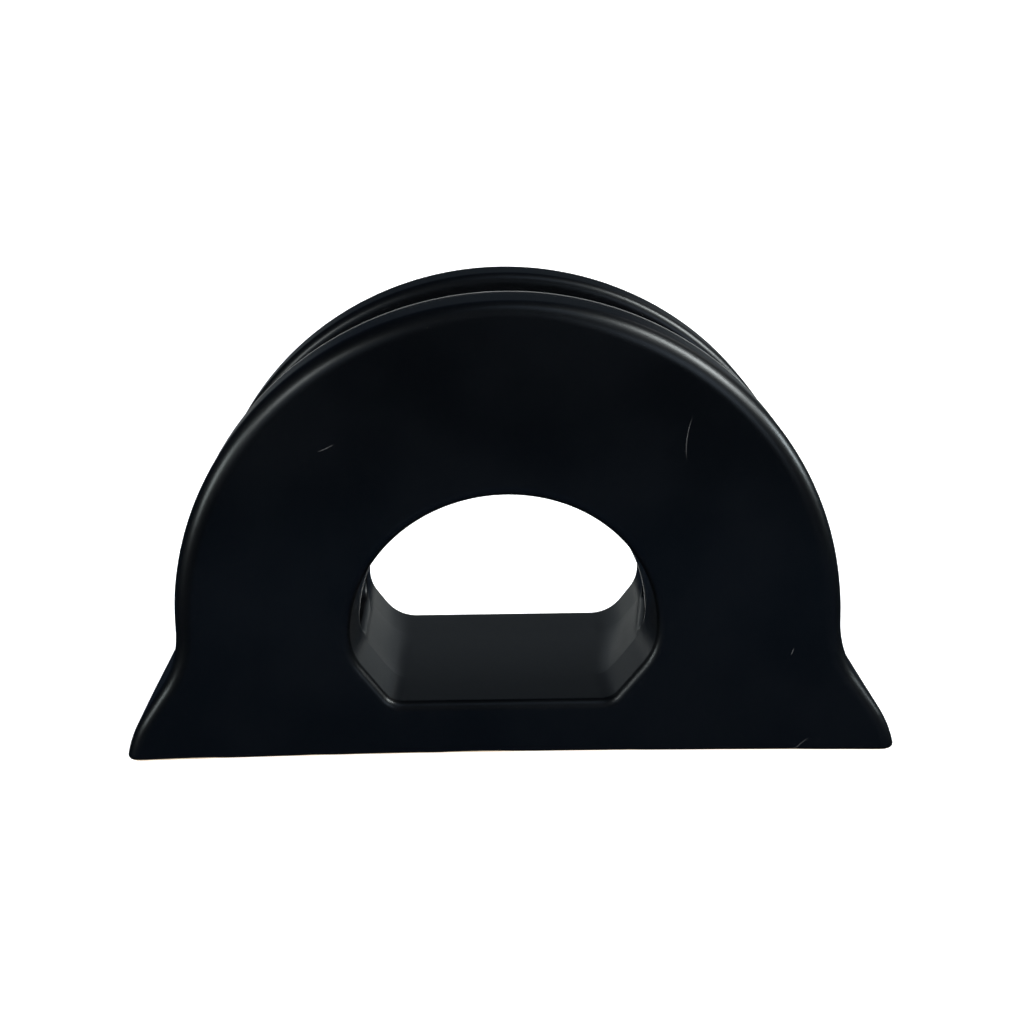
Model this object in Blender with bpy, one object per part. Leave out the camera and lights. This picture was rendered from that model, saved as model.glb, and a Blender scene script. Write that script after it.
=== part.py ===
"""A stoneware napkin holder: two hollow arch walls that stand on a flared hollow base.

Metres, +Z up. X runs along the holder, Y runs through its walls with the front at -Y, and the
origin is on the table below its middle. The base and the walls are cast separately, and each
wall's open feet fit over two lips of the base. A plate closes the base from below, and four
pads sit in the plate.
"""

import math

import bmesh
import bpy
from mathutils import Vector

MM = 0.001

# The pads hold the stoneware this far off the table, and its heights count from there.
LIFT = 0.5 * MM

# Whole holder
HALF_WIDTH = 89.0 * MM
HALF_DEPTH = 35.0 * MM
HEIGHT = 105.7 * MM
EDGE_RADIUS = 3.5 * MM
FOOT_RADIUS = 1.2 * MM
GAP = 0.3 * MM

# Walls
WALL_DEPTH = 18.4 * MM
WALL_HALF_WIDTH = 76.4 * MM
WALL_SPRING = 32.2 * MM
WALL_FOOT = 29.0 * MM
WALL_SKIN = 4.5 * MM
CAVITY_RADIUS = 1.5 * MM
SLOT_RIM = 1.0 * MM
ARCH_STEPS = 20

# Window through both walls, and the trough that it makes in the base
WINDOW_HALF_WIDTH = 35.1 * MM
WINDOW_TOP = 61.9 * MM
WINDOW_RIM = 2.2 * MM
SILL = 13.5 * MM
SILL_HALF_WIDTH = 27.9 * MM
KNEE = 22.9 * MM
SILL_RADIUS = 9.9 * MM
KNEE_RADIUS = 8.5 * MM

# Base: its sides blend out of the walls into a straight flare, and turn down again to the toe
FLARE_LEAN = math.radians(34.1)
FLARE_RADIUS = 22.0 * MM
TOE_TOP = 10.4 * MM
TOE_RADIUS = 26.0 * MM
BASE_TOP = WALL_FOOT - GAP
BASE_SKIN = 7.5 * MM
SLOT_FLOOR = 24.0 * MM
SLOT_RADIUS = WALL_FOOT - SLOT_FLOOR
HOLLOW_TOP = 23.0 * MM
LIP_HEIGHT = 3.0 * MM
LIP_THICKNESS = 2.0 * MM

# Bottom plate and pads
MOUTH_HALF_WIDTH = 82.8 * MM
MOUTH_HALF_DEPTH = 29.0 * MM
MOUTH_RADIUS = 3.0 * MM
PLATE_TOP = 4.4 * MM
PLATE_RECESS = 0.2 * MM
VENT_RADIUS = 3.0 * MM
PAD_RADIUS = 6.0 * MM
PAD_RISE = 1.0 * MM
PAD_X = 66.0 * MM
PAD_Y = 20.0 * MM

CORNER_STEPS = 4
FLARE_STEPS = 6
ROUND_STEPS = 32
REACH = 10.0 * MM  # how far a cutter runs past the face that it opens

SLOT_HALF_WIDTH = HALF_DEPTH - WALL_DEPTH
TOE_CENTRE_Z = TOE_TOP - TOE_RADIUS * math.sin(FLARE_LEAN)
TOE_CENTRE_X = HALF_WIDTH - math.sqrt(TOE_RADIUS**2 - (FOOT_RADIUS - TOE_CENTRE_Z) ** 2)
TOE_TOP_X = TOE_CENTRE_X + TOE_RADIUS * math.cos(FLARE_LEAN)
FLARE_TOP = TOE_TOP + (TOE_TOP_X - WALL_HALF_WIDTH) / math.tan(FLARE_LEAN)
BLEND_END = FLARE_TOP + FLARE_RADIUS * math.tan(FLARE_LEAN / 2)
BLEND_START = BLEND_END - FLARE_RADIUS * math.sin(FLARE_LEAN)
SILL_TURN = math.atan2(KNEE - SILL, WINDOW_HALF_WIDTH - SILL_HALF_WIDTH)
WINDOW_SPRING = KNEE + KNEE_RADIUS * math.tan((math.pi / 2 - SILL_TURN) / 2)


def clear_scene():
    for obj in list(bpy.data.objects):
        bpy.data.objects.remove(obj)


def material(name, colour, roughness, coat=0.0):
    """A dielectric surface in the part's own colour."""
    made = bpy.data.materials.new(name)
    made.use_nodes = True
    shader = made.node_tree.nodes["Principled BSDF"]
    shader.inputs["Base Color"].default_value = (*colour, 1.0)
    shader.inputs["Roughness"].default_value = roughness
    shader.inputs["Metallic"].default_value = 0.0
    shader.inputs["Coat Weight"].default_value = coat
    made.diffuse_color = (*colour, 1.0)
    return made


def arc(centre_x, centre_y, radius, start, turn, steps):
    """Points along an arc that starts at an angle and turns anticlockwise."""
    angles = [start + turn * step / steps for step in range(steps + 1)]
    return [(centre_x + radius * math.cos(a), centre_y + radius * math.sin(a)) for a in angles]


def rounded_rectangle(low, high, radii):
    """Anticlockwise outline, with the corners' radii from (low x, low y) round to (low x, high y)."""
    places = (
        (low[0], low[1], 1, 1),
        (high[0], low[1], -1, 1),
        (high[0], high[1], -1, -1),
        (low[0], high[1], 1, -1),
    )
    points = []
    for turn, ((x, y, side_x, side_y), radius) in enumerate(zip(places, radii)):
        start = math.pi + turn * math.pi / 2
        centre = (x + side_x * radius, y + side_y * radius)
        points += arc(*centre, radius, start, math.pi / 2, CORNER_STEPS)
    return points


def level_ring(half_x, half_y, radius, z):
    """A rounded rectangle round the Z axis, at one height of the stoneware."""
    outline = rounded_rectangle((-half_x, -half_y), (half_x, half_y), [radius] * 4)
    return [Vector((x, y, LIFT + z)) for x, y in outline]


def loft(name, rings, closed=False):
    """A solid through rings of equally many points, with its ends capped or joined to each other."""
    mesh = bmesh.new()
    rows = [[mesh.verts.new(point) for point in ring] for ring in rings]
    pairs = list(zip(rows, rows[1:]))
    if closed:
        pairs.append((rows[-1], rows[0]))
    else:
        mesh.faces.new(rows[0])
        mesh.faces.new(rows[-1])
    for first, second in pairs:
        count = len(first)
        for i in range(count):
            j = (i + 1) % count
            mesh.faces.new((first[i], first[j], second[j], second[i]))
    bmesh.ops.recalc_face_normals(mesh, faces=mesh.faces)
    data = bpy.data.meshes.new(name)
    mesh.to_mesh(data)
    mesh.free()
    data.shade_smooth()
    data.set_sharp_from_angle(angle=math.radians(35))
    obj = bpy.data.objects.new(name, data)
    bpy.context.scene.collection.objects.link(obj)
    return obj


def cylinder(name, x, y, radius, bottom, top):
    """A round solid that stands between two heights of the stoneware."""
    outline = arc(x, y, radius, 0, 2 * math.pi, ROUND_STEPS)[:-1]
    return loft(name, [[Vector((px, py, LIFT + z)) for px, py in outline] for z in (bottom, top)])


def combine(target, tool, operation="DIFFERENCE"):
    """Cuts a tool from the target, or joins it on, and hides the tool."""
    tool.hide_render = True
    tool.display_type = "WIRE"
    modifier = target.modifiers.new(f"{operation.lower()}_{tool.name}", "BOOLEAN")
    modifier.operation = operation
    modifier.solver = "EXACT"
    modifier.object = tool


def wall_outline():
    """Right half of a wall's outer edge as (x, z), from its foot to its crown."""
    rise = HEIGHT - WALL_SPRING
    angles = [math.pi / 2 * step / ARCH_STEPS for step in range(ARCH_STEPS + 1)]
    arch = [(WALL_HALF_WIDTH * math.cos(a), WALL_SPRING + rise * math.sin(a)) for a in angles]
    return [(WALL_HALF_WIDTH, WALL_FOOT)] + arch


def wall_sections():
    """Each section of the wall from the right foot to the left one, as (window point, edge point)."""
    edge = [Vector(point) for point in wall_outline()]
    along = [0.0]
    for first, second in zip(edge, edge[1:]):
        along.append(along[-1] + (second - first).length)
    rise = WINDOW_TOP - WINDOW_SPRING
    foot_angle = math.asin((WALL_FOOT - WINDOW_SPRING) / rise)
    window = []
    for distance in along:
        angle = foot_angle + (math.pi / 2 - foot_angle) * distance / along[-1]
        x, z = WINDOW_HALF_WIDTH * math.cos(angle), WINDOW_SPRING + rise * math.sin(angle)
        window.append(Vector((x, z)))
    right = list(zip(window, edge))
    left = [(Vector((-a.x, a.y)), Vector((-b.x, b.y))) for a, b in reversed(right[:-1])]
    return right + left


def section_ring(window, edge, near, far, inset, radii):
    """A rounded section between a window point and an edge point, kept inside them by the inset."""
    out = (edge - window).normalized()
    length = (edge - window).length
    outline = rounded_rectangle((inset, near + inset), (length - inset, far - inset), radii)
    points = []
    for reach, y in outline:
        place = window + out * reach
        points.append(Vector((place.x, y, LIFT + place.y)))
    return points


def arch_wall(name, near, far):
    """A hollow arch, open at its two feet, with tighter edges towards the slot."""
    sections = wall_sections()
    if near < 0:
        outer_radii = (WINDOW_RIM, EDGE_RADIUS, SLOT_RIM, SLOT_RIM)
    else:
        outer_radii = (SLOT_RIM, SLOT_RIM, EDGE_RADIUS, WINDOW_RIM)
    inner_radii = (CAVITY_RADIUS,) * 4
    outside = [section_ring(*pair, near, far, 0.0, outer_radii) for pair in sections]
    inside = [section_ring(*pair, near, far, WALL_SKIN, inner_radii) for pair in sections]
    return loft(name, outside + inside[::-1], closed=True)


def round_in(z):
    """How far the foot's rounded edge lies inside the face above it at a height."""
    below = max(FOOT_RADIUS - z, 0.0)
    return FOOT_RADIUS - math.sqrt(FOOT_RADIUS**2 - below**2)


def base_half_width(z):
    """Half the base's width at a height: the toe's arc, a straight flare, then a hollow blend."""
    if z < TOE_TOP:
        return TOE_CENTRE_X + math.sqrt(TOE_RADIUS**2 - (z - TOE_CENTRE_Z) ** 2)
    if z < BLEND_START:
        return WALL_HALF_WIDTH + (FLARE_TOP - z) * math.tan(FLARE_LEAN)
    below_end = max(BLEND_END - z, 0.0)
    return WALL_HALF_WIDTH + FLARE_RADIUS - math.sqrt(FLARE_RADIUS**2 - below_end**2)


def base_outside():
    """The base before its slot and trough: round at the foot, then narrowing to the walls."""
    turns = [math.pi / 2 * step / CORNER_STEPS for step in range(CORNER_STEPS)]
    heights = [FOOT_RADIUS * (1 - math.cos(turn)) for turn in turns]
    for low, high in ((FOOT_RADIUS, TOE_TOP), (BLEND_START, BASE_TOP)):
        heights += [low + (high - low) * step / FLARE_STEPS for step in range(FLARE_STEPS + 1)]
    rings = []
    for z in heights:
        half_width = base_half_width(z) - round_in(z)
        rings.append(level_ring(half_width, HALF_DEPTH - round_in(z), EDGE_RADIUS, z))
    return loft("base_block", rings)


def slot_cutter(name, grow, end):
    """The napkin slot: a channel along X with a round-cornered floor, made wider by grow."""
    half, floor, radius = SLOT_HALF_WIDTH + grow, SLOT_FLOOR - grow, SLOT_RADIUS + grow
    top = WALL_FOOT + REACH
    outline = arc(-half + radius, floor + radius, radius, math.pi, math.pi / 2, CORNER_STEPS)
    outline += arc(half - radius, floor + radius, radius, -math.pi / 2, math.pi / 2, CORNER_STEPS)
    outline += [(half, top), (-half, top)]
    return loft(name, [[Vector((x, y, LIFT + z)) for y, z in outline] for x in (-end, end)])


def trough_outline(grow):
    """The lower part of the window as (x, z), made wider by grow."""
    sill_x = SILL_HALF_WIDTH - SILL_RADIUS * math.tan(SILL_TURN / 2)
    sill = arc(sill_x, SILL + SILL_RADIUS, SILL_RADIUS + grow, -math.pi / 2, SILL_TURN, CORNER_STEPS)
    knee_start = SILL_TURN - math.pi / 2
    knee_x = WINDOW_HALF_WIDTH - KNEE_RADIUS
    knee = arc(knee_x, WINDOW_SPRING, KNEE_RADIUS + grow, knee_start, -knee_start, CORNER_STEPS)
    right = sill + knee + [(WINDOW_HALF_WIDTH + grow, WALL_FOOT + REACH)]
    return right + [(-x, z) for x, z in reversed(right)]


def trough_cutter(name, grow, rim):
    """The window's lower part through the whole depth, flared at both faces by the rim."""
    places = [(-HALF_DEPTH - REACH, grow + rim)]
    if rim:
        for step in range(CORNER_STEPS + 1):
            angle = math.pi / 2 * step / CORNER_STEPS
            depth = -HALF_DEPTH + rim * (1 - math.cos(angle))
            places.append((depth, grow + rim * (1 - math.sin(angle))))
    places += [(-y, size) for y, size in reversed(places)]
    rings = [[Vector((x, y, LIFT + z)) for x, z in trough_outline(size)] for y, size in places]
    return loft(name, rings)


def hollow_cutter():
    """The inside of the base, which keeps a skin below the slot and round the trough."""
    heights = (PLATE_TOP, TOE_TOP, BLEND_START, HOLLOW_TOP)
    radius = CAVITY_RADIUS
    half_depth = HALF_DEPTH - BASE_SKIN
    rings = [level_ring(base_half_width(z) - BASE_SKIN, half_depth, radius, z) for z in heights]
    hollow = loft("hollow", rings)
    combine(hollow, slot_cutter("slot_skin", WALL_SKIN, HALF_WIDTH))
    combine(hollow, trough_cutter("trough_skin", WALL_SKIN, 0.0))
    return hollow


def lip_ring(side_x, side_y, inset, z):
    """A level rounded rectangle inside a wall's open foot, smaller than the opening by the inset."""
    near_x = WINDOW_HALF_WIDTH + WALL_SKIN + inset
    far_x = WALL_HALF_WIDTH - WALL_SKIN - inset
    near_y = SLOT_HALF_WIDTH + WALL_SKIN + inset
    far_y = HALF_DEPTH - WALL_SKIN - inset
    outline = rounded_rectangle((near_x, near_y), (far_x, far_y), [CAVITY_RADIUS] * 4)
    return [Vector((side_x * x, side_y * y, LIFT + z)) for x, y in outline]


def base_block():
    """The hollow base, with its slot, its trough and a lip under each foot of the walls."""
    base = base_outside()
    combine(base, slot_cutter("slot", 0.0, HALF_WIDTH + REACH))
    combine(base, trough_cutter("trough", 0.0, WINDOW_RIM))
    lip_top = WALL_FOOT + LIP_HEIGHT
    corners = [(side_x, side_y) for side_x in (-1, 1) for side_y in (-1, 1)]
    for number, (side_x, side_y) in enumerate(corners):
        heights = (WALL_FOOT - LIP_THICKNESS, lip_top)
        lip = loft(f"lip_{number}", [lip_ring(side_x, side_y, GAP, z) for z in heights])
        combine(base, lip, "UNION")
    combine(base, hollow_cutter())
    for number, (side_x, side_y) in enumerate(corners):
        heights = (HOLLOW_TOP - LIP_THICKNESS, lip_top + REACH)
        inset = GAP + LIP_THICKNESS
        shaft = loft(f"shaft_{number}", [lip_ring(side_x, side_y, inset, z) for z in heights])
        combine(base, shaft)
    heights = (-REACH, PLATE_TOP + GAP)
    mouth = [level_ring(MOUTH_HALF_WIDTH, MOUTH_HALF_DEPTH, MOUTH_RADIUS, z) for z in heights]
    combine(base, loft("mouth", mouth))
    return base


def pad_places():
    """Each pad's name, x and y."""
    for end, side_y in (("front", -1), ("rear", 1)):
        for hand, side_x in (("left", -1), ("right", 1)):
            yield f"pad_{end}_{hand}", side_x * PAD_X, side_y * PAD_Y


def bottom_plate():
    """The plate that closes the base, with a vent hole and a recess for each pad."""
    half_x, half_y, radius = MOUTH_HALF_WIDTH - GAP, MOUTH_HALF_DEPTH - GAP, MOUTH_RADIUS - GAP
    rings = [level_ring(half_x, half_y, radius, z) for z in (PLATE_RECESS, PLATE_TOP)]
    plate = loft("bottom_plate", rings)
    combine(plate, cylinder("vent", 0.0, 0.0, VENT_RADIUS, -REACH, REACH))
    for name, x, y in pad_places():
        combine(plate, cylinder(f"recess_{name}", x, y, PAD_RADIUS + GAP, -REACH, PAD_RISE + GAP))
    return plate


def dress(obj, surface):
    obj.data.materials.clear()
    obj.data.materials.append(surface)


def main():
    clear_scene()
    glaze = material("black_glaze", (0.0055, 0.0070, 0.0095), 0.42, coat=0.15)
    bisque = material("bisque", (0.56, 0.47, 0.36), 0.90)
    foam = material("pad_foam", (0.030, 0.030, 0.032), 0.85)
    dress(base_block(), glaze)
    dress(arch_wall("front_wall", -HALF_DEPTH, -SLOT_HALF_WIDTH), glaze)
    dress(arch_wall("rear_wall", SLOT_HALF_WIDTH, HALF_DEPTH), glaze)
    dress(bottom_plate(), bisque)
    for name, x, y in pad_places():
        dress(cylinder(name, x, y, PAD_RADIUS, -LIFT, PAD_RISE), foam)


main()
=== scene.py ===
"""The looks of a stoneware napkin holder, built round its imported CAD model.

The glazed body is one smooth solid, worked out as a signed distance field: the holder's outline
through its depth, less the window and the napkin slot, with every edge rounded. Its surface is
netted into quads and parted at the joints between the base and the two walls, so that each
piece stands for its own CAD node and the glaze still runs on across the joints.
"""

import math

import bmesh
import bpy
import numpy as np
from mathutils import Matrix, Vector


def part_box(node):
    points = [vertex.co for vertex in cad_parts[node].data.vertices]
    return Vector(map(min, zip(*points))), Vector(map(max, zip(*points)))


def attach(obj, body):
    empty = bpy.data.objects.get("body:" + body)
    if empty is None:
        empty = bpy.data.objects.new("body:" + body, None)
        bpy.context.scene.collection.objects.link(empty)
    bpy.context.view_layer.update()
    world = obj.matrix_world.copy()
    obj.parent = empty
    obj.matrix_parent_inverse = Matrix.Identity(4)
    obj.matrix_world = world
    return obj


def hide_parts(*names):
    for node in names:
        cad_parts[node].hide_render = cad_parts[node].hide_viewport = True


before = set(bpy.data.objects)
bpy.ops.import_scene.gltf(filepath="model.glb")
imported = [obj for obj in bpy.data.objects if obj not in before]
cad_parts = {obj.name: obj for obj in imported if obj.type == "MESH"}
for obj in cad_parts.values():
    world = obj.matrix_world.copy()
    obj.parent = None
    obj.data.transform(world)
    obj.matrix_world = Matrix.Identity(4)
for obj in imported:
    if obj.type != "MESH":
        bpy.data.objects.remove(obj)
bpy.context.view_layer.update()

MM = 0.001
TINY = 1e-9

# Places that the frame gives
BASE_LOW, BASE_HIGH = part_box("base_block")
WALL_LOW, WALL_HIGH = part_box("front_wall")
PLATE_LOW, PLATE_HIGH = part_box("bottom_plate")
HALF_WIDTH = BASE_HIGH.x
HALF_DEPTH = BASE_HIGH.y
FOOT = BASE_LOW.z
JOINT = WALL_LOW.z
CROWN = WALL_HIGH.z
WALL_HALF_WIDTH = WALL_HIGH.x
SLOT_HALF_WIDTH = -WALL_HIGH.y

# How round the edges are. The front's outer edge is rounder on the arch's two shoulders, and the
# rear wall's edge over the slot is rounder at the crest.
EDGE_RADIUS = 3.5 * MM
SHOULDER_RIM = 4.8 * MM
SHOULDER = 30.0 * MM
WINDOW_RIM = 2.2 * MM
SLOT_RIM = 0.9 * MM
REAR_CREST_RIM = 2.6 * MM
FOOT_RADIUS = 1.2 * MM

# The bead of glaze along the front wall's edge over the slot and in the window
BEAD_HEIGHT = 0.16 * MM
BEAD_WIDTH = 0.30 * MM
BEAD_PLACE = -(SLOT_HALF_WIDTH + 0.75 * MM)
BEAD_FADE = 3.0 * MM

# Shapes that the frame's boxes don't say. A pair is for the window's front and rear ends.
WALL_SPRING = FOOT + 32.2 * MM
FLARE_LEAN = math.radians(34.1)
FLARE_RADIUS = 22.0 * MM
TOE_TOP = FOOT + 10.4 * MM
TOE_RADIUS = 26.0 * MM
WINDOW_HALF_WIDTH = 35.1 * MM
WINDOW_TOP = FOOT + 61.9 * MM
SILL = FOOT + 13.5 * MM
WINDOW_SPRING = FOOT + 28.0 * MM
SLANT_START = (25.2 * MM, 27.9 * MM)
SLANT_END = (FOOT + 25.6 * MM, FOOT + 22.9 * MM)
SILL_RADIUS = (4.5 * MM, 9.9 * MM)
KNEE_RADIUS = (13.0 * MM, 8.5 * MM)
SLOT_RADIUS = 5.0 * MM
SLOT_FLOOR = JOINT - SLOT_RADIUS
GAP = 0.3 * MM
PLATE_CORNER = 3.0 * MM

# How finely the outlines are drawn and the body is netted
TOE_STEPS = 32
FLARE_STEPS = 30
ARCH_STEPS = 150
WINDOW_CORNER_STEPS = 12
WINDOW_CROWN_STEPS = 90
NET_STEP = 1.0 * MM
NET_MARGIN = 2.0 * MM
CUT_SLACK = 1e-7
WELD = 0.005 * MM

# How far hand work and firing leave the body from true. A pair is for the front and the rear.
WAVE_DEPTH = 0.12 * MM
FOOT_ARCH = 0.98 * MM
FOOT_ARCH_HEIGHT = 4.0 * MM
CREST_DROP = 0.10 * MM
ARCH_SHIFT = (-0.59 * MM, -0.19 * MM)
ARCH_SHIFT_HEIGHT = 40 * MM
WINDOW_SHIFT = (-1.23 * MM, -0.40 * MM)
WINDOW_LEAN = (0.029, 0.013)
WINDOW_LEAN_HEIGHT = (50 * MM, 35 * MM)
WINDOW_DRAFT = 0.038
WINDOW_REACH = (1.1, 1.9)


def arc(centre, radius, start, turn, steps):
    """Points along an arc that starts at an angle and turns anticlockwise."""
    angles = np.linspace(start, start + turn, steps)
    return [(centre[0] + radius * math.cos(a), centre[1] + radius * math.sin(a)) for a in angles]


def half_ellipse(half_width, spring, top, start, steps):
    """The right half of an arch as (x, z), from an angle up to the crown."""
    angles = np.linspace(start, math.pi / 2, steps)
    return [(half_width * math.cos(a), spring + (top - spring) * math.sin(a)) for a in angles]


def mirrored(right):
    """A closed outline from its right half, which runs upwards and ends on the middle line."""
    return np.array(right + [(-x, z) for x, z in reversed(right[:-1])])


def holder_outline():
    """The holder's outline from the front, drawn EDGE_RADIUS inside its true edge.

    It runs on below the foot, where the foot's plane cuts it.
    """
    lean = FLARE_LEAN
    below_foot = 0.3
    toe_z = TOE_TOP - TOE_RADIUS * math.sin(lean)
    toe_x = HALF_WIDTH - math.sqrt(TOE_RADIUS**2 - (FOOT + FOOT_RADIUS - toe_z) ** 2)
    toe_radius = TOE_RADIUS - EDGE_RADIUS
    toe = arc((toe_x, toe_z), toe_radius, -below_foot, lean + below_foot, TOE_STEPS)
    half_width = WALL_HALF_WIDTH - EDGE_RADIUS
    radius = FLARE_RADIUS + EDGE_RADIUS
    knee = toe[-1][1] + (toe[-1][0] - half_width) / math.tan(lean)
    blend = (half_width + radius, knee + radius * math.tan(lean / 2))
    flare = arc(blend, radius, math.pi + lean, -lean, FLARE_STEPS)
    arch = half_ellipse(half_width, WALL_SPRING, CROWN - EDGE_RADIUS, 0.0, ARCH_STEPS)
    return mirrored(toe + flare + arch)


def window_outline(end, inset):
    """The window's outline at its front end (0) or rear end (1), drawn an inset inside its edge."""
    slant_x, slant_z = SLANT_START[end], SLANT_END[end]
    sill_radius, knee_radius = SILL_RADIUS[end], KNEE_RADIUS[end]
    turn = math.atan2(slant_z - SILL, WINDOW_HALF_WIDTH - slant_x)
    knee_turn = math.pi / 2 - turn
    sill_x = slant_x - sill_radius * math.tan(turn / 2)
    knee_x = WINDOW_HALF_WIDTH - knee_radius
    spring = slant_z + knee_radius * math.tan(knee_turn / 2)
    sill_centre = (sill_x, SILL + sill_radius)
    steps = WINDOW_CORNER_STEPS
    sill = arc(sill_centre, sill_radius - inset, -math.pi / 2, turn, steps)
    knee = arc((knee_x, spring), knee_radius - inset, -knee_turn, knee_turn, steps)
    half_width = WINDOW_HALF_WIDTH - inset
    crown = half_ellipse(half_width, spring, WINDOW_TOP - inset, 0.0, WINDOW_CROWN_STEPS)
    return mirrored(sill + knee + crown[1:])


def outline_field(places, outline):
    """Signed distance from (x, z) places to a closed outline, negative inside, and its gradient."""
    nearest = np.full(len(places), np.inf)
    away = np.zeros_like(places)
    inside = np.zeros(len(places), bool)
    for start, end in zip(outline, np.roll(outline, -1, axis=0)):
        along = end - start
        part = np.clip((places - start) @ along / (along @ along), 0.0, 1.0)
        gap = places - start - part[:, None] * along
        distance = np.einsum("ij,ij->i", gap, gap)
        closer = distance < nearest
        nearest[closer] = distance[closer]
        away[closer] = gap[closer]
        if start[1] != end[1]:
            spans = (start[1] > places[:, 1]) != (end[1] > places[:, 1])
            crossing = start[0] + along[0] * (places[:, 1] - start[1]) / along[1]
            inside ^= spans & (places[:, 0] < crossing)
    sign = np.where(inside, -1.0, 1.0)
    distance = np.sqrt(nearest)
    slope = sign[:, None] * away / np.maximum(distance, TINY)[:, None]
    return sign * distance, slope


HOLDER = holder_outline()
WINDOW_INSET = 4.0 * MM
WINDOWS = [window_outline(end, WINDOW_INSET) for end in (0, 1)]


def profile_fields(places):
    """Distances and gradients for (x, z) places: to the outside, and into the window's ends."""
    outside, outside_slope = outline_field(places, HOLDER)
    ends = [outline_field(places, window) for window in WINDOWS]
    windows = [(WINDOW_INSET - distance, -slope) for distance, slope in ends]
    return outside - EDGE_RADIUS, outside_slope, windows


def towards_rear(y):
    """How far along the window a place is, from 0 at its front end to 1 at its rear end."""
    return np.clip(0.5 + y / (2 * HALF_DEPTH), 0.0, 1.0)


def slot_field(y, z):
    """Signed distance into the napkin slot, negative outside it, and its gradient over (y, z)."""
    across = np.abs(y) - (SLOT_HALF_WIDTH - SLOT_RADIUS)
    below = SLOT_FLOOR + SLOT_RADIUS - z
    wide, low = np.maximum(across, 0.0), np.maximum(below, 0.0)
    reach = np.hypot(wide, low)
    distance = SLOT_RADIUS - reach - np.minimum(np.maximum(across, below), 0.0)
    at_corner = reach > 0.0
    safe = np.where(at_corner, reach, 1.0)
    slope_y = np.where(at_corner, wide / safe, across > below) * np.sign(y)
    slope_z = np.where(at_corner, -low / safe, -1.0 * (across <= below))
    return distance, -slope_y, -slope_z


def unit(vectors):
    """The same directions at length 1."""
    return vectors / np.linalg.norm(vectors, axis=1)[:, None]


def smooth_step(values):
    """Goes smoothly from 0 to 1 while the values do, and stays there."""
    part = np.clip(values, 0.0, 1.0)
    return part * part * (3.0 - 2.0 * part)


def rear_share(y):
    """0 at the front wall and 1 at the rear wall, with a smooth change over the slot."""
    return smooth_step(y / (2 * SLOT_HALF_WIDTH) + 0.5)


def slot_rim(y, z):
    """The radius of the edges towards the slot, which grows on the rear wall's upper half."""
    rear = rear_share(y)
    upper = smooth_step((z - WINDOW_TOP) / (CROWN - WINDOW_TOP) + 0.5)
    return SLOT_RIM + (REAR_CREST_RIM - SLOT_RIM) * rear * upper


def face_rim(x, y, z):
    """The radius of the faces' outer edges. The front's is larger on the arch's two shoulders."""
    front = 1.0 - rear_share(y)
    upper = smooth_step((z - TOE_TOP) / (WALL_SPRING - TOE_TOP))
    aside = smooth_step(np.abs(x) / SHOULDER)
    return EDGE_RADIUS + (SHOULDER_RIM - EDGE_RADIUS) * front * upper * aside


def bead(y):
    """How proud the glaze's bead stands, and how fast that grows towards the rear."""
    part = (y - BEAD_PLACE) / BEAD_WIDTH
    height = BEAD_HEIGHT * np.exp(-part * part)
    return height, -2.0 * part / BEAD_WIDTH * height


def over_joint(z):
    """0 at the joint and 1 where the bead has its full height."""
    return smooth_step((z - JOINT) / BEAD_FADE)


def rounded_meet(first, second, radius):
    """The field of what lies inside two surfaces, with a rounded edge, and each one's weight."""
    past_first = np.maximum(first + radius, 0.0)
    past_second = np.maximum(second + radius, 0.0)
    value = np.minimum(np.maximum(first, second), -radius) + np.hypot(past_first, past_second)
    near = past_first + past_second > 0.0
    first_weight = np.where(near, past_first, first >= second)
    second_weight = np.where(near, past_second, first < second)
    return value, first_weight, second_weight


def body_field(points):
    """Signed distance from 3-D points to the glazed body, and its unit gradient."""
    x, y, z = points.T
    outside, outside_slope, (front, rear) = profile_fields(points[:, [0, 2]])
    share = towards_rear(y)
    window = (1.0 - share) * front[0] + share * rear[0]
    window_slope = (1.0 - share)[:, None] * front[1] + share[:, None] * rear[1]
    slot, slot_y, slot_z = slot_field(y, z)
    zero, one = np.zeros(len(points)), np.ones(len(points))
    proud, proud_slope = np.stack(bead(y)) * over_joint(z)
    cuts = (
        (np.abs(y) - HALF_DEPTH, (zero, np.sign(y), zero), face_rim(x, y, z)),
        (window - proud, (window_slope[:, 0], -proud_slope, window_slope[:, 1]), WINDOW_RIM),
        (slot, (zero, slot_y, slot_z), slot_rim(y, z)),
        (FOOT - z, (zero, zero, -one), FOOT_RADIUS),
    )
    value = outside - proud
    slope = unit(np.stack([outside_slope[:, 0], -proud_slope, outside_slope[:, 1]], axis=1))
    for side, side_slope, radius in cuts:
        value, first, second = rounded_meet(value, side, radius)
        slope = unit(first[:, None] * slope + second[:, None] * np.stack(side_slope, axis=1))
    return value, slope


def grid_field(axes):
    """The body's field at every node of a grid, from its two profiles."""
    x, y, z = axes
    places = np.stack(np.meshgrid(x, z, indexing="ij"), axis=-1).reshape(-1, 2)
    outside, _, (front, rear) = profile_fields(places)
    shape = (len(x), 1, len(z))
    share = towards_rear(y)[None, :, None]
    window = (1.0 - share) * front[0].reshape(shape) + share * rear[0].reshape(shape)
    face = (np.abs(y) - HALF_DEPTH)[None, :, None]
    slot = slot_field(y[:, None], z[None, :])[0][None]
    proud = bead(y)[0][None, :, None] * over_joint(z)[None, None, :]
    rim = face_rim(x[:, None, None], y[None, :, None], z[None, None, :])
    value = rounded_meet(outside.reshape(shape) - proud, face, rim)[0]
    value = rounded_meet(value, window - proud, WINDOW_RIM)[0]
    value = rounded_meet(value, slot, slot_rim(y[:, None], z[None, :])[None])[0]
    return rounded_meet(value, (FOOT - z)[None, None, :], FOOT_RADIUS)[0]


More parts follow.
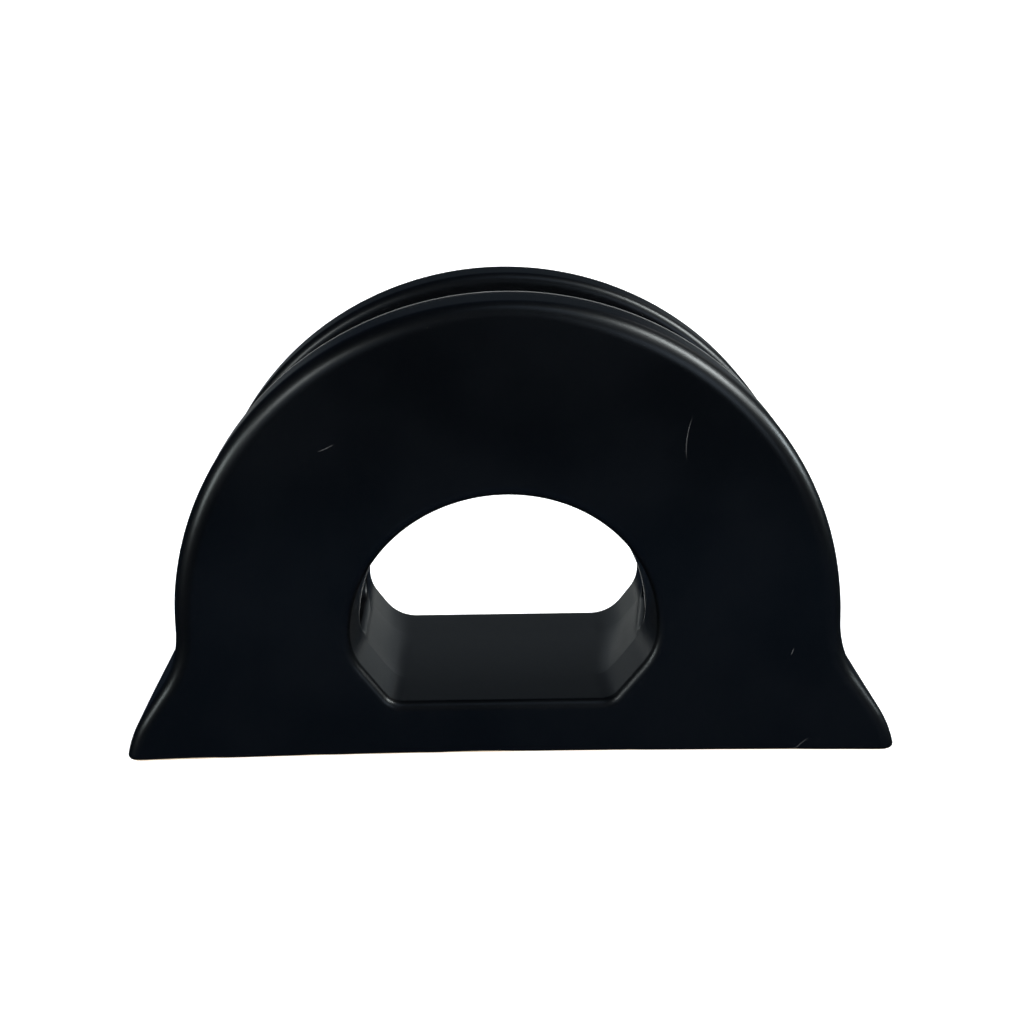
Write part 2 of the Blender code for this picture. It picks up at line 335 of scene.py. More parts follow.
def surface_net(field):
    """Quads round every grid edge that the surface crosses, with one vertex in each cell."""
    cells = np.array(field.shape) - 1
    total = np.zeros((cells.prod(), 3))
    count = np.zeros(cells.prod())
    quads = []
    for axis in range(3):
        ahead = [slice(None)] * 3
        behind = [slice(None)] * 3
        ahead[axis], behind[axis] = slice(1, None), slice(None, -1)
        low, high = field[tuple(behind)], field[tuple(ahead)]
        crossed = np.argwhere((low < 0.0) != (high < 0.0))
        first, second = low[tuple(crossed.T)], high[tuple(crossed.T)]
        place = crossed.astype(float)
        place[:, axis] += first / (first - second)
        u, v = (axis + 1) % 3, (axis + 2) % 3
        corners = []
        for back_u, back_v in ((0, 0), (1, 0), (1, 1), (0, 1)):
            cell = crossed.copy()
            cell[:, u] -= back_u
            cell[:, v] -= back_v
            flat = np.ravel_multi_index(tuple(cell.T), cells)
            corners.append(flat)
            count += np.bincount(flat, minlength=len(count))
            for k in range(3):
                total[:, k] += np.bincount(flat, weights=place[:, k], minlength=len(count))
        quad = np.stack(corners, axis=1)
        quad[first > 0.0] = quad[first > 0.0][:, ::-1]
        quads.append(quad)
    used = np.flatnonzero(count)
    number = np.full(len(count), -1)
    number[used] = np.arange(len(used))
    return total[used] / count[used][:, None], number[np.concatenate(quads)]


def relaxed(points, quads):
    """Evens out the net along the surface, and puts every vertex exactly on it."""
    even_rounds, settle_rounds = 2, 3
    edges = np.concatenate([quads[:, [i, (i + 1) % 4]] for i in range(4)])
    here, there = edges.T
    degree = np.bincount(here, minlength=len(points))
    for _ in range(even_rounds):
        value, slope = body_field(points)
        points = points - value[:, None] * slope
        sums = [
            np.bincount(here, weights=points[there, k], minlength=len(points)) for k in range(3)
        ]
        shift = np.stack(sums, axis=1) / degree[:, None] - points
        shift -= np.einsum("ij,ij->i", shift, slope)[:, None] * slope
        points = points + 0.5 * shift
    for _ in range(settle_rounds):
        value, slope = body_field(points)
        points = points - value[:, None] * slope
    return points


# Slow waves that hand finishing leaves: how fast each one's angle turns per metre, and its start
WAVES = (
    ((21.0, 55.0, 31.0), 0.4),
    ((-38.0, 40.0, 52.0), 2.1),
    ((74.0, -60.0, -29.0), 4.4),
    ((12.0, 90.0, -83.0), 1.3),
)


def hand_waves(points):
    """How far hand finishing leaves each point under the true surface, and that depth's slope."""
    depth = np.zeros(len(points))
    slope = np.zeros_like(points)
    for pace, start in WAVES:
        pace = np.array(pace)
        angle = points @ pace + start
        depth += 1.0 + np.sin(angle)
        slope += np.cos(angle)[:, None] * pace
    share = WAVE_DEPTH / (2 * len(WAVES))
    return depth * share, slope * share


def body_normals(points):
    """The finished surface's normals, with the hand finishing."""
    _, slope = body_field(points)
    _, wave = hand_waves(points)
    return unit(slope + wave - np.einsum("ij,ij->i", wave, slope)[:, None] * slope)


def axis_places(stops):
    """Grid places along an axis from (start, step) stops. The last stop only ends the axis."""
    places = []
    for (start, step), (end, _) in zip(stops, stops[1:]):
        count = max(1, round((end - start) / step))
        places += [start + (end - start) * i / count for i in range(count)]
    return np.array(places + [stops[-1][0]])


def depth_places():
    """Grid places across the depth, close together where the edges are tight."""
    half = axis_places([
        (0.0, 2.0 * MM),
        (SLOT_HALF_WIDTH - SLOT_RADIUS, 0.9 * MM),
        (SLOT_HALF_WIDTH - 0.5 * MM, 0.25 * MM),
        (SLOT_HALF_WIDTH + 1.2 * MM, 0.6 * MM),
        (SLOT_HALF_WIDTH + REAR_CREST_RIM + 0.4 * MM, 2.0 * MM),
        (HALF_DEPTH - SHOULDER_RIM - 0.4 * MM, 0.5 * MM),
        (HALF_DEPTH + 1.0 * MM, 0.5 * MM),
    ])
    return np.concatenate([-half[:0:-1], half])


def net_body():
    """Points and quads of the whole glazed body."""
    half_width = HALF_WIDTH + NET_MARGIN
    axes = [
        axis_places([(-half_width, NET_STEP), (half_width, NET_STEP)]),
        depth_places(),
        axis_places([
            (FOOT - NET_MARGIN, 0.5 * MM),
            (FOOT + 2 * FOOT_RADIUS, NET_STEP),
            (CROWN + NET_MARGIN, NET_STEP),
        ]),
    ]
    points, quads = surface_net(grid_field(axes))
    for k, axis in enumerate(axes):
        points[:, k] = np.interp(points[:, k], np.arange(len(axis)), axis)
    points = relaxed(points, quads)
    depth, _ = hand_waves(points)
    _, slope = body_field(points)
    return points - depth[:, None] * slope, quads


def fired(points):
    """Where true points end up once drying and firing have moved the clay a little."""
    x, y, z = points.T
    height = z - FOOT
    rear = rear_share(y)

    def between(pair):
        return pair[0] + (pair[1] - pair[0]) * rear

    arch = between(ARCH_SHIFT) * np.clip(height / ARCH_SHIFT_HEIGHT, 0.0, 1.0)
    window = between(WINDOW_SHIFT)
    window = window + between(WINDOW_LEAN) * (height - between(WINDOW_LEAN_HEIGHT))
    from_front = (y + HALF_DEPTH) / (HALF_DEPTH - SLOT_HALF_WIDTH)
    from_rear = 0.5 - y / (2 * SLOT_HALF_WIDTH)
    inwards = np.clip(np.minimum(from_front, from_rear), 0.0, 1.0)
    window = window - WINDOW_DRAFT * x * inwards
    upwards = (z - WINDOW_SPRING) / (WINDOW_TOP - WINDOW_SPRING)
    reach = np.hypot(x / WINDOW_HALF_WIDTH, upwards)
    near, far = WINDOW_REACH
    near_window = 1.0 - smooth_step((reach - near) / (far - near))
    near_foot = 1.0 - smooth_step(height / FOOT_ARCH_HEIGHT)
    sunk = CREST_DROP * smooth_step((z - WINDOW_TOP) / (CROWN - WINDOW_TOP)) * (1.0 - rear)
    moved = points.copy()
    moved[:, 0] += arch + (window - arch) * near_window
    moved[:, 2] += FOOT_ARCH * (1.0 - (x / HALF_WIDTH) ** 2) * near_foot - sunk
    return moved


def fire(obj):
    """Moves an object's vertices as firing does. Its own normals turn with its faces."""
    points = np.empty(len(obj.data.vertices) * 3)
    obj.data.vertices.foreach_get("co", points)
    obj.data.vertices.foreach_set("co", fired(points.reshape(-1, 3)).ravel())
    obj.data.update()


def new_object(name, mesh):
    """An object in the scene from a bmesh, which is freed."""
    data = bpy.data.meshes.new(name)
    mesh.to_mesh(data)
    mesh.free()
    obj = bpy.data.objects.new(name, data)
    bpy.context.scene.collection.objects.link(obj)
    return obj


def parted(mesh, height, keep_above):
    """Cuts a bmesh at a height, keeps one side of it and closes the cut."""
    everything = mesh.verts[:] + mesh.edges[:] + mesh.faces[:]
    bmesh.ops.bisect_plane(
        mesh,
        geom=everything,
        dist=CUT_SLACK,
        plane_co=(0.0, 0.0, height),
        plane_no=(0.0, 0.0, 1.0),
        clear_inner=keep_above,
        clear_outer=not keep_above,
    )
    rim = [edge for edge in mesh.edges if edge.is_boundary]
    bmesh.ops.holes_fill(mesh, edges=rim, sides=0)
    return mesh


def shade_glazed(obj):
    """Gives the glazed faces the body's own normals and leaves the cut faces flat."""
    data = obj.data
    data.shade_smooth()
    points = np.empty(len(data.vertices) * 3)
    data.vertices.foreach_get("co", points)
    points = points.reshape(-1, 3)
    normals = body_normals(points)
    farthest, steepest = 0.08 * MM, 0.6
    off_surface = np.abs(body_field(points)[0] + hand_waves(points)[0]) > farthest
    loop_normals = np.zeros((len(data.loops), 3))
    for face in data.polygons:
        corners = list(face.vertices)
        flat = np.array(face.normal)
        is_cut = off_surface[corners].any() or (normals[corners] @ flat).min() < steepest
        loops = slice(face.loop_start, face.loop_start + face.loop_total)
        loop_normals[loops] = flat if is_cut else normals[corners]
    data.normals_split_custom_set(loop_normals.tolist())


def body_pieces():
    """The base and the two walls, each cut from the one glazed body at the joints."""
    points, quads = net_body()
    sides = {
        "holder_base": None,
        "wall_front": -1.0,
        "wall_rear": 1.0,
    }
    pieces = {}
    for name, side in sides.items():
        mesh = bmesh.new()
        verts = [mesh.verts.new(point) for point in points]
        for quad in quads:
            mesh.faces.new([verts[i] for i in quad])
        if side is None:
            parted(mesh, JOINT, keep_above=False)
        else:
            parted(mesh, JOINT, keep_above=True)
            others = [vert for vert in mesh.verts if vert.co.y * side < 0.0]
            bmesh.ops.delete(mesh, geom=others, context="VERTS")
        pieces[name] = new_object(name, mesh)
    return pieces


def rounded_prism(name, half_x, half_y, radius, low, high, steps=6):
    """An upright prism on a rectangle with rounded corners."""
    ring = []
    for turn in range(4):
        sign_x = (1, -1, -1, 1)[turn]
        sign_y = (1, 1, -1, -1)[turn]
        centre = (sign_x * (half_x - radius), sign_y * (half_y - radius))
        ring += arc(centre, radius, turn * math.pi / 2, math.pi / 2, steps)
    mesh = bmesh.new()
    lower = [mesh.verts.new((x, y, low)) for x, y in ring]
    upper = [mesh.verts.new((x, y, high)) for x, y in ring]
    mesh.faces.new(lower[::-1])
    mesh.faces.new(upper)
    for i in range(len(ring)):
        j = (i + 1) % len(ring)
        mesh.faces.new((lower[i], lower[j], upper[j], upper[i]))
    return new_object(name, mesh)


def cut(piece, cutter):
    """Takes the cutter out of the piece, and deletes the cutter."""
    boolean = piece.modifiers.new("cut", "BOOLEAN")
    boolean.operation = "DIFFERENCE"
    boolean.solver = "EXACT"
    boolean.object = cutter
    graph = bpy.context.evaluated_depsgraph_get()
    result = bpy.data.meshes.new_from_object(piece.evaluated_get(graph))
    piece.modifiers.clear()
    piece.data = result
    bpy.data.objects.remove(cutter)


def make_body():
    """The glazed base and walls, with the mouth in the base that the bottom plate closes."""
    pieces = body_pieces()
    half_x = PLATE_HIGH.x + GAP
    half_y = PLATE_HIGH.y + GAP
    low, high = FOOT - 5 * MM, PLATE_HIGH.z + GAP
    mouth = rounded_prism("mouth", half_x, half_y, PLATE_CORNER + GAP, low, high)
    cut(pieces["holder_base"], mouth)
    for piece in pieces.values():
        shade_glazed(piece)
        fire(piece)
        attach(piece, "root")
    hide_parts("base_block")
    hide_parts("front_wall")
    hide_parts("rear_wall")
    return pieces


CAMERA_PLACE = Vector((-8.467, -431.373, 158.83)) * MM
CAMERA_YAW, CAMERA_PITCH, CAMERA_ROLL = 0.0220, 0.2468, -0.0074
CAMERA_LENS = 64.32
CAMERA_SENSOR = 36.0


def make_camera():
    """The camera: close, a little above the holder and level with its middle."""
    yaw, pitch, roll = CAMERA_YAW, CAMERA_PITCH, CAMERA_ROLL
    level = math.cos(pitch)
    ahead = Vector((math.sin(yaw) * level, math.cos(yaw) * level, -math.sin(pitch)))
    right = Vector((math.cos(yaw), -math.sin(yaw), 0.0))
    up = right.cross(ahead)
    across = right * math.cos(roll) + up * math.sin(roll)
    upright = up * math.cos(roll) - right * math.sin(roll)
    data = bpy.data.cameras.new("camera")
    data.sensor_width = CAMERA_SENSOR
    data.lens = CAMERA_LENS
    data.clip_start = 10 * MM
    camera = bpy.data.objects.new("camera", data)
    turn = Matrix((across, upright, -ahead)).transposed().to_4x4()
    camera.matrix_world = Matrix.Translation(CAMERA_PLACE) @ turn
    bpy.context.scene.collection.objects.link(camera)
    bpy.context.scene.camera = camera


# The Mix node's sockets for two colours, and for their mix
COLOUR_A, COLOUR_B, MIXED_COLOUR = 6, 7, 2


class Surface:
    """One procedural material: a Principled shader, and short calls that add nodes to it."""

    def __init__(self, name, roughness, specular=0.5):
        self.material = bpy.data.materials.new(name)
        self.material.use_nodes = True
        self.tree = self.material.node_tree
        self.shader = self.tree.nodes["Principled BSDF"]
        self.shader.inputs["Roughness"].default_value = roughness
        self.shader.inputs["Specular IOR Level"].default_value = specular
        self.place = self.tree.nodes.new("ShaderNodeTexCoord").outputs["Object"]
        self.normal = None

    def node(self, kind, values, **settings):
        """A node with its settings, whose inputs are given by name as sockets or as values."""
        node = self.tree.nodes.new(kind)
        for name, value in settings.items():
            setattr(node, name, value)
        for name, value in values.items():
            if isinstance(value, bpy.types.NodeSocket):
                self.tree.links.new(value, node.inputs[name])
            else:
                node.inputs[name].default_value = value
        return node

    def noise(self, size, detail=3.0, place=None):
        """Soft noise from 0 to 1, with features about as large as the size."""
        values = {"Vector": place or self.place, "Scale": 1.0 / size, "Detail": detail}
        return self.node("ShaderNodeTexNoise", values).outputs["Fac"]

    def cells(self, size, feature="F1"):
        """Scattered cells about as large as the size, as a Voronoi node."""
        values = {"Vector": self.place, "Scale": 1.0 / size}
        return self.node("ShaderNodeTexVoronoi", values, feature=feature)

    def math(self, operation, first, second=0.0):
        """One arithmetic step."""
        return self.node("ShaderNodeMath", {0: first, 1: second}, operation=operation).outputs[0]

    def vector_math(self, operation, first, second):
        """One arithmetic step on vectors."""
        values = {0: first, 1: second}
        return self.node("ShaderNodeVectorMath", values, operation=operation).outputs[0]

    def times(self, first, *others):
        """The product of two or more values."""
        for other in others:
            first = self.math("MULTIPLY", first, other)
        return first

    def parts(self, vector):
        """A vector's x, y and z."""
        return self.node("ShaderNodeSeparateXYZ", {"Vector": vector}).outputs[:3]

    def channels(self, colour):
        """A colour's red, green and blue."""
        return self.node("ShaderNodeSeparateColor", {"Color": colour}).outputs[:3]

    def step(self, value, start, end, low=0.0, high=1.0):
        """Goes smoothly from low to high while the value goes from start to end."""
        values = {"Value": value, "From Min": start, "From Max": end, "To Min": low, "To Max": high}
        node = self.node("ShaderNodeMapRange", values, interpolation_type="SMOOTHSTEP")
        return node.outputs["Result"]

    def mix(self, share, first, second):
        """A colour that goes from the first to the second."""
        node = self.node("ShaderNodeMix", {"Factor": share}, data_type="RGBA")
        for socket, value in ((node.inputs[COLOUR_A], first), (node.inputs[COLOUR_B], second)):
            if isinstance(value, bpy.types.NodeSocket):
                self.tree.links.new(value, socket)
            else:
                socket.default_value = (*value, 1.0)
        return node.outputs[MIXED_COLOUR]

    def bump(self, height, depth):
        """Raises the surface by the height, which goes from 0 to 1, times a depth in metres."""
        values = {"Height": height, "Distance": depth}
        if self.normal:
            values["Normal"] = self.normal
        self.normal = self.node("ShaderNodeBump", values).outputs["Normal"]

    def finish(self, colour, roughness):
        """Links what the nodes make to the shader, and gives the material."""
        self.tree.links.new(colour, self.shader.inputs["Base Color"])
        self.tree.links.new(roughness, self.shader.inputs["Roughness"])
        self.tree.links.new(self.normal, self.shader.inputs["Normal"])
        return self.material


GLAZE_DEEP = (0.0004, 0.0005, 0.0008)
GLAZE_PALE = (0.0008, 0.0010, 0.0015)
# Pale line over the bead: partly the glaze's thin break, partly a painted highlight along the edge
GLAZE_BREAK_AND_HIGHLIGHT = (0.20, 0.20, 0.195)
DUST = (0.045, 0.045, 0.045)
BISQUE_LIGHT = (0.56, 0.47, 0.36)
BISQUE_DARK = (0.40, 0.31, 0.21)
BISQUE_GRIT = (0.70, 0.62, 0.50)
IRON = (0.10, 0.055, 0.03)
GLAZE_SMUDGE = (0.02, 0.022, 0.026)
FOAM_DARK = (0.022, 0.022, 0.024)
FOAM_LIGHT = (0.045, 0.045, 0.047)
FOAM_SCUFF = (0.09, 0.088, 0.083)

# The foot's bare line goes over into glaze between these heights, give or take its wander
BARE_LINE = (0.25 * MM, 0.45 * MM)
BARE_WANDER = 0.25 * MM

# Scratches lie in cells: the chance that a cell has one, how long it is at most as a share of the
# cell, how much it bends, and how far the rear face's pattern lies from the front's
SCRATCH_CHANCE = 0.25
SCRATCH_REACH = 0.22
SCRATCH_BEND = 0.6
FACE_SHIFT = 3.0


def height_over_foot(surface):
    """The height over the foot's edge, which firing has arched."""
    x, _, z = surface.parts(surface.place)
    across = surface.math("DIVIDE", x, HALF_WIDTH)
    arched = surface.times(across, across, FOOT_ARCH)
    return surface.math("ADD", surface.math("SUBTRACT", z, FOOT + FOOT_ARCH), arched)


def hairlines(surface, size, width):
    """Short curved scratches on the two faces, one in some of the cells, each with its own turn."""
    x, y, z = surface.parts(surface.place)
    shifted = surface.math("ADD", x, surface.math("MULTIPLY", y, FACE_SHIFT))
    flat = surface.node("ShaderNodeCombineXYZ", {"X": shifted, "Y": z, "Z": 0.0}).outputs[0]
    values = {"Vector": flat, "Scale": 1.0 / size}
    cells = surface.node("ShaderNodeTexVoronoi", values, voronoi_dimensions="2D").outputs
    for_turn, for_presence, for_reach = surface.channels(cells["Color"])
    away = surface.vector_math("SUBTRACT", flat, cells["Position"])
    turn = surface.math("MULTIPLY", for_turn, 2 * math.pi)
    turned_away = surface.node("ShaderNodeVectorRotate", {"Vector": away, "Angle": turn}).outputs[0]
    along, across, _ = surface.parts(turned_away)
    bend = surface.times(along, along, SCRATCH_BEND / size)
    off_line = surface.math("ABSOLUTE", surface.math("SUBTRACT", across, bend))
    line = surface.step(off_line, 0.3 * width, width, 1.0, 0.0)
    reach = surface.math("MULTIPLY", for_reach, SCRATCH_REACH * size)
    share_along = surface.math("DIVIDE", surface.math("ABSOLUTE", along), reach)
    ends = surface.step(share_along, 0.3, 1.0, 1.0, 0.0)
    on_face = surface.math("GREATER_THAN", surface.math("ABSOLUTE", y), HALF_DEPTH - 0.5 * MM)
    present = surface.math("LESS_THAN", for_presence, SCRATCH_CHANCE)
    return surface.times(line, ends, surface.times(on_face, present))


def bead_break_and_highlight(surface):
    """A pale line over the bead on the front wall's slot edge: partly glaze running thin, partly a
    painted highlight.
    """
    _, y, z = surface.parts(surface.place)
    off_bead = surface.math("ABSOLUTE", surface.math("SUBTRACT", y, BEAD_PLACE))
    line = surface.step(off_bead, 0.6 * BEAD_WIDTH, 1.5 * BEAD_WIDTH, 1.0, 0.0)
    above = surface.step(z, JOINT - BEAD_FADE, JOINT)
    return surface.math("MULTIPLY", line, above)


def specks(surface, size, radius, share):
    """Small round specks in a share of the cells."""
    cells = surface.cells(size)
    away = cells.outputs["Distance"]
    spot = surface.step(away, 0.4 * radius / size, radius / size, 1.0, 0.0)
    chosen, _, _ = surface.channels(cells.outputs["Color"])
    return surface.math("MULTIPLY", spot, surface.math("LESS_THAN", chosen, share))


def glaze_material():
    """Satin blue-black glaze: fine peel, pinholes, scratches, dust, and a bare line at the foot."""
    surface = Surface("black_glaze", 0.32)
    clouds = surface.noise(30 * MM, 3.0)
    peel = surface.noise(0.9 * MM, 2.0)
    grain = surface.noise(0.22 * MM, 2.0)
    pinholes = specks(surface, 7.0 * MM, 0.22 * MM, 0.10)
    dust = specks(surface, 5.0 * MM, 0.16 * MM, 0.06)
    scratches = surface.math("MAXIMUM", hairlines(surface, 24 * MM, 0.12 * MM), dust)
    wander = surface.step(clouds, 0.3, 0.7, -BARE_WANDER, BARE_WANDER)
    height = surface.math("ADD", height_over_foot(surface), wander)
    bare = surface.step(height, *BARE_LINE, 1.0, 0.0)
    tone = surface.mix(surface.step(clouds, 0.35, 0.65), GLAZE_DEEP, GLAZE_PALE)
    tone = surface.mix(scratches, tone, DUST)
    # The bead's pale line: partly glaze running thin, partly a painted highlight standing in for
    # the edge's bright reflection
    tone = surface.mix(bead_break_and_highlight(surface), tone, GLAZE_BREAK_AND_HIGHLIGHT)
    colour = surface.mix(bare, tone, surface.mix(grain, BISQUE_DARK, BISQUE_LIGHT))
    cloudy = surface.step(clouds, 0.3, 0.7, 0.28, 0.31)
    rough = surface.math("ADD", cloudy, surface.math("MULTIPLY", peel, 0.05))
    rough = surface.math("MAXIMUM", rough, surface.math("MULTIPLY", bare, 0.9))
    surface.bump(peel, 0.006 * MM)
    surface.bump(grain, 0.0012 * MM)
    surface.bump(pinholes, -0.03 * MM)
    surface.bump(scratches, 0.004 * MM)
    return surface.finish(colour, rough)


def bisque_material():
    """Unglazed stoneware: warm, dry and gritty, with iron specks and a few smudges of glaze."""
    surface = Surface("bisque", 0.9, 0.3)
    clouds = surface.noise(25 * MM, 4.0)
    grit = surface.noise(0.5 * MM, 4.0)
    iron = specks(surface, 2.5 * MM, 0.28 * MM, 0.25)
    smudge = surface.step(surface.noise(14 * MM, 6.0), 0.66, 0.72)
    colour = surface.mix(surface.step(clouds, 0.35, 0.65), BISQUE_LIGHT, BISQUE_DARK)
    colour = surface.mix(surface.math("MULTIPLY", grit, 0.35), colour, BISQUE_GRIT)
    colour = surface.mix(iron, colour, IRON)
    colour = surface.mix(surface.math("MULTIPLY", smudge, 0.8), colour, GLAZE_SMUDGE)
    surface.bump(clouds, 0.10 * MM)
    surface.bump(grit, 0.05 * MM)
    surface.bump(iron, 0.02 * MM)
    return surface.finish(colour, surface.step(grit, 0.3, 0.7, 0.8, 0.95))


def foam_material():
    """Non-slip foam with a fine open grain, scuffed where it stands on the table."""
    surface = Surface("pad_foam", 0.85, 0.3)
    pores = surface.cells(0.45 * MM).outputs["Distance"]
    scuff = surface.step(surface.noise(2.5 * MM, 4.0), 0.5, 0.7)
    colour = surface.mix(pores, FOAM_DARK, FOAM_LIGHT)
    colour = surface.mix(surface.math("MULTIPLY", scuff, 0.4), colour, FOAM_SCUFF)
    surface.bump(pores, 0.06 * MM)
    return surface.finish(colour, surface.step(scuff, 0.0, 1.0, 0.8, 0.92))


def turned(name, centre, profile, steps=64):
    """A surface turned round an upright axis from (radius, z) points."""
    mesh = bmesh.new()
    rings = []
    for radius, z in profile:
        if radius == 0.0:
            rings.append([mesh.verts.new((centre[0], centre[1], z))])
            continue
        ring = arc(centre, radius, 0.0, 2 * math.pi, steps + 1)[:-1]
        rings.append([mesh.verts.new((x, y, z)) for x, y in ring])
    for lower, upper in zip(rings, rings[1:]):
        for i in range(steps):
            j = (i + 1) % steps
            below = [lower[i % len(lower)], lower[j % len(lower)]]
            above = [upper[j % len(upper)], upper[i % len(upper)]]
            mesh.faces.new(list(dict.fromkeys(below + above)))
    obj = new_object(name, mesh)
    obj.data.shade_smooth()
    return obj


def make_plate(bisque):
    """The bottom plate, from its CAD shape, with eased edges and the foot's arch in it."""
    mesh = bmesh.new()
    mesh.from_mesh(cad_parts["bottom_plate"].data)
    bmesh.ops.remove_doubles(mesh, verts=mesh.verts[:], dist=WELD)
    bmesh.ops.dissolve_limit(mesh, angle_limit=0.01, verts=mesh.verts[:], edges=mesh.edges[:])
    least_turn = 0.9
    bmesh.ops.bevel(
        mesh,
        geom=[edge for edge in mesh.edges if edge.calc_face_angle(0.0) > least_turn],
        offset=0.35 * MM,
        segments=3,
        profile=0.5,
        affect="EDGES",
        clamp_overlap=True,
    )
    slices = 32
    for i in range(1, slices):
        x = PLATE_LOW.x + (PLATE_HIGH.x - PLATE_LOW.x) * i / slices
        bmesh.ops.bisect_plane(
            mesh,
            geom=mesh.verts[:] + mesh.edges[:] + mesh.faces[:],
            dist=CUT_SLACK,
            plane_co=(x, 0.0, 0.0),
            plane_no=(1.0, 0.0, 0.0),
        )
    bmesh.ops.triangulate(mesh, faces=mesh.faces[:])
    bmesh.ops.remove_doubles(mesh, verts=mesh.verts[:], dist=WELD)
    plate = new_object("foot_plate", mesh)
    fire(plate)
    plate.data.shade_smooth()
    plate.data.set_sharp_from_angle(angle=math.radians(35))
    plate.data.materials.clear()
    plate.data.materials.append(bisque)
    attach(plate, "root")
    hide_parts("bottom_plate")


def make_pad(node, foam):
    """A foam disc with a soft rim and a slightly sunken sole."""
    low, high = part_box(node)
    centre = ((low.x + high.x) / 2, (low.y + high.y) / 2)
    radius = (high.x - low.x) / 2
    rim = 0.5 * MM
    sole = [(0.0, low.z + 0.12 * MM), (0.55 * radius, low.z + 0.09 * MM), (0.8 * radius, low.z)]
    lower = arc((radius - rim, low.z + rim), rim, -math.pi / 2, math.pi / 2, 8)
    upper = arc((radius - rim / 2, high.z - rim / 2), rim / 2, 0.0, math.pi / 2, 5)
    top = [(0.0, high.z)]
    pad = turned(node.replace("pad", "foam_pad"), centre, sole + lower + upper + top)
    pad.data.materials.append(foam)
    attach(pad, "root")
    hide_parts(node)


# The white floor: it glows a little, lies just under the pads, and sweeps up into a round wall
FLOOR_GLOW = 0.80
FLOOR_COLOUR = (0.80, 0.80, 0.80)
FLOOR_DROP = 0.02 * MM
FLOOR_RADIUS = 2.2
STAGE_RADIUS = 3.2
STAGE_HEIGHT = 3.0
ROOM_LIGHT = (0.009, 0.015, 0.026)


def make_stage():
    """A plain white floor that sweeps up into a wall all round, and the room's faint light."""
    bend = STAGE_RADIUS - FLOOR_RADIUS
    sweep = arc((FLOOR_RADIUS, bend), bend, -math.pi / 2, math.pi / 2, 16)
    profile = [(0.0, 0.0)] + sweep + [(STAGE_RADIUS, STAGE_HEIGHT)]
    floor = turned("floor", (0.0, 0.0), profile, 96)
    surface = Surface("floor", 0.9, 0.0)
    surface.shader.inputs["Base Color"].default_value = (*FLOOR_COLOUR, 1.0)
    surface.shader.inputs["Emission Color"].default_value = (1.0, 1.0, 1.0, 1.0)
    surface.shader.inputs["Emission Strength"].default_value = FLOOR_GLOW
    floor.data.materials.append(surface.material)
    floor.location.z = -FLOOR_DROP
    floor.visible_glossy = False
    floor.visible_shadow = False
    world = bpy.data.worlds.new("world")
    bpy.context.scene.world = world
    world.use_nodes = True
    world.node_tree.nodes["Background"].inputs["Color"].default_value = (*ROOM_LIGHT, 1.0)


# Softboxes round the holder: azimuth and elevation in degrees, side in metres, and radiance
SOFTBOX_DISTANCE = 1.5
SOFTBOX_AIM = Vector((0.0, 0.0, 0.05))
SOFTBOXES = {
    "key_low": (6, 20, 0.35, (11.5, 13.0, 13.5)),
    "key": (-6, 41, 0.35, (18.0, 19.0, 19.0)),
    "key_high": (-4, 54, 0.35, (15.0, 16.0, 16.0)),
    "key_front": (-20, 38, 0.35, (5.0, 5.5, 5.5)),
    "left": (222, 30, 0.35, (7.5, 8.0, 8.0)),
    "left_low": (200, 14, 0.35, (8.0, 9.0, 9.0)),
    "front_left": (-120, 20, 0.60, (0.22, 0.27, 0.36)),
    "front_right": (-60, 20, 0.60, (0.95, 1.15, 1.40)),
    "front_top": (-60, 70, 0.60, (0.28, 0.38, 0.52)),
    "rear_right": (60, 8, 0.50, (0.050, 0.060, 0.065)),
    "rear": (90, 8, 0.50, (0.020, 0.022, 0.020)),
    "rear_high": (60, 25, 0.50, (0.30, 0.31, 0.30)),
}

# Lit stretches of the table, which only reflections show: middle, size and radiance
TABLE_LIGHT_HEIGHT = 0.1 * MM
TABLE_LIGHTS = {
    "table_near": ((0.18, -0.0855), (0.60, 0.099), (0.020, 0.037, 0.067)),
    "table_front": ((0.18, -0.1925), (0.60, 0.115), (0.040, 0.077, 0.135)),
    "table_rear": ((0.0, 0.55), (0.40, 0.50), (0.695, 0.710, 0.650)),
}

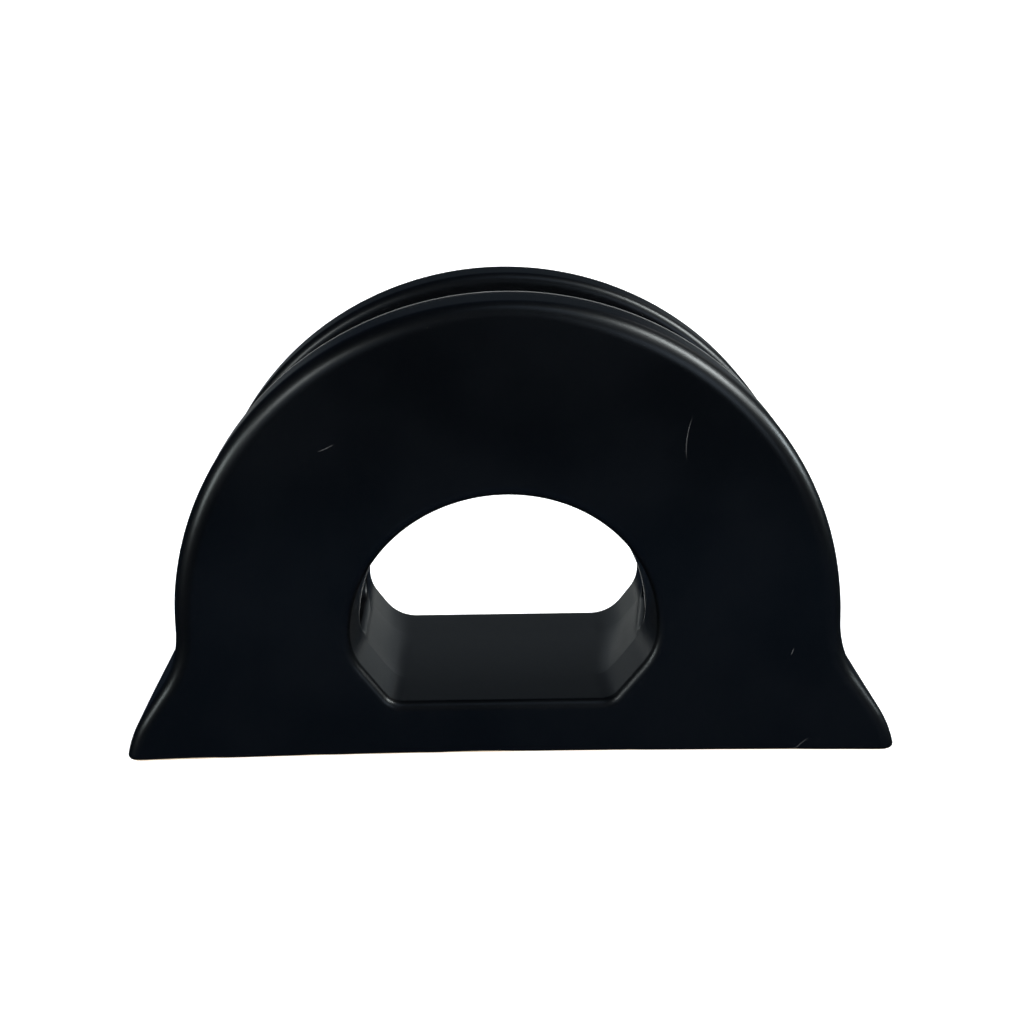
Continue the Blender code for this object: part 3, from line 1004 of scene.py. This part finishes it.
# A low card close behind, which the trough's floor reflects and the walls' crests look over
REAR_CARD_PLACE = 0.30
REAR_CARD_WIDTH = 0.50
REAR_CARD_HEIGHT = 0.10
REAR_CARD_LIGHT = (0.150, 0.165, 0.170)


def area_light(name, place, size, radiance):
    """A rectangular light that the camera doesn't see."""
    data = bpy.data.lights.new(name, "AREA")
    data.shape = "RECTANGLE"
    data.size, data.size_y = size
    strongest = max(radiance)
    data.color = [share / strongest for share in radiance]
    data.energy = strongest * math.pi * size[0] * size[1]
    light = bpy.data.objects.new(name, data)
    light.matrix_world = place
    light.visible_camera = False
    bpy.context.scene.collection.objects.link(light)
    return light


def make_lights():
    """The softboxes, the lit stretches of the table and the low card."""
    for name, (azimuth, elevation, side, radiance) in SOFTBOXES.items():
        turn, lift = math.radians(azimuth), math.radians(elevation)
        level = math.cos(lift)
        away = Vector((level * math.cos(turn), level * math.sin(turn), math.sin(lift)))
        facing = (-away).to_track_quat("-Z", "Y").to_matrix().to_4x4()
        place = Matrix.Translation(SOFTBOX_AIM + away * SOFTBOX_DISTANCE) @ facing
        area_light(name, place, (side, side), radiance)
    upwards = Matrix.Rotation(math.pi, 4, "X")
    for name, ((x, y), size, radiance) in TABLE_LIGHTS.items():
        place = Matrix.Translation((x, y, TABLE_LIGHT_HEIGHT)) @ upwards
        area_light(name, place, size, radiance).visible_diffuse = False
    upright = Matrix.Rotation(-math.pi / 2, 4, "X")
    place = Matrix.Translation((0.0, REAR_CARD_PLACE, REAR_CARD_HEIGHT / 2)) @ upright
    area_light("rear_card", place, (REAR_CARD_WIDTH, REAR_CARD_HEIGHT), REAR_CARD_LIGHT)


def main():
    """Builds the holder, the camera, the stage and the lights."""
    glaze, bisque, foam = glaze_material(), bisque_material(), foam_material()
    for piece in make_body().values():
        piece.data.materials.clear()
        piece.data.materials.append(glaze)
    make_plate(bisque)
    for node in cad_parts:
        if node.startswith("pad"):
            make_pad(node, foam)
    make_camera()
    make_stage()
    make_lights()
    bpy.context.scene.view_settings.view_transform = "Standard"


main()
